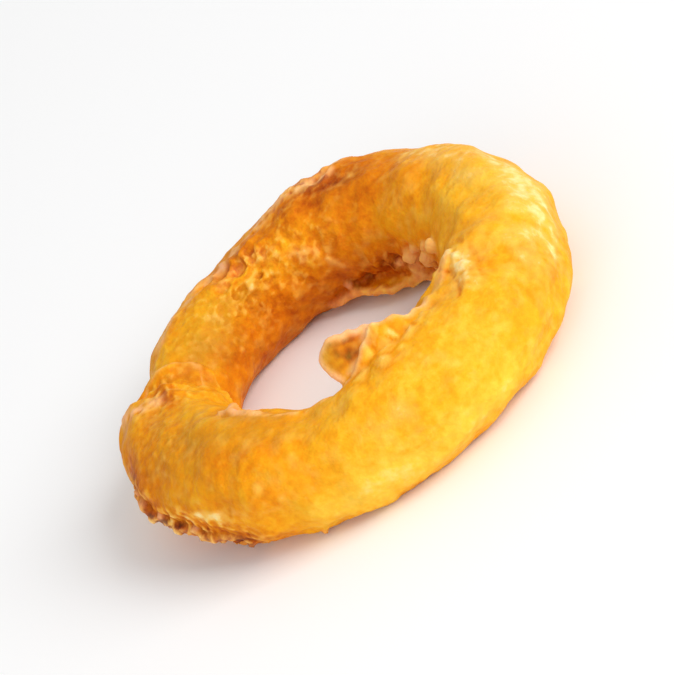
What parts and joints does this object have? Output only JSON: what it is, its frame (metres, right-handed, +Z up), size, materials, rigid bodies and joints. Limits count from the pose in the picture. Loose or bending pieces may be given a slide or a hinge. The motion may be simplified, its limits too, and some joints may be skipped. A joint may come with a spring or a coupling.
{
  "type": "onion ring",
  "caption": "Thick battered and deep-fried onion ring lying flat, with a curled flap of batter at the lip of its hole and crumbs fried on.",
  "frame": {"origin": "on the surface that the ring lies on, under the middle of its box", "axes": "+Z up through the hole, -Y towards the side with the curled flap, +X to the right seen from there"},
  "size_m": [0.076, 0.0738, 0.0206],
  "materials": {
    "crust": "deep-fried batter: golden yellow, browned on its crags and edges, faintly oily"
  },
  "bodies": {
    "root": {"onion_ring": "crust"}
  },
  "joints": []
}
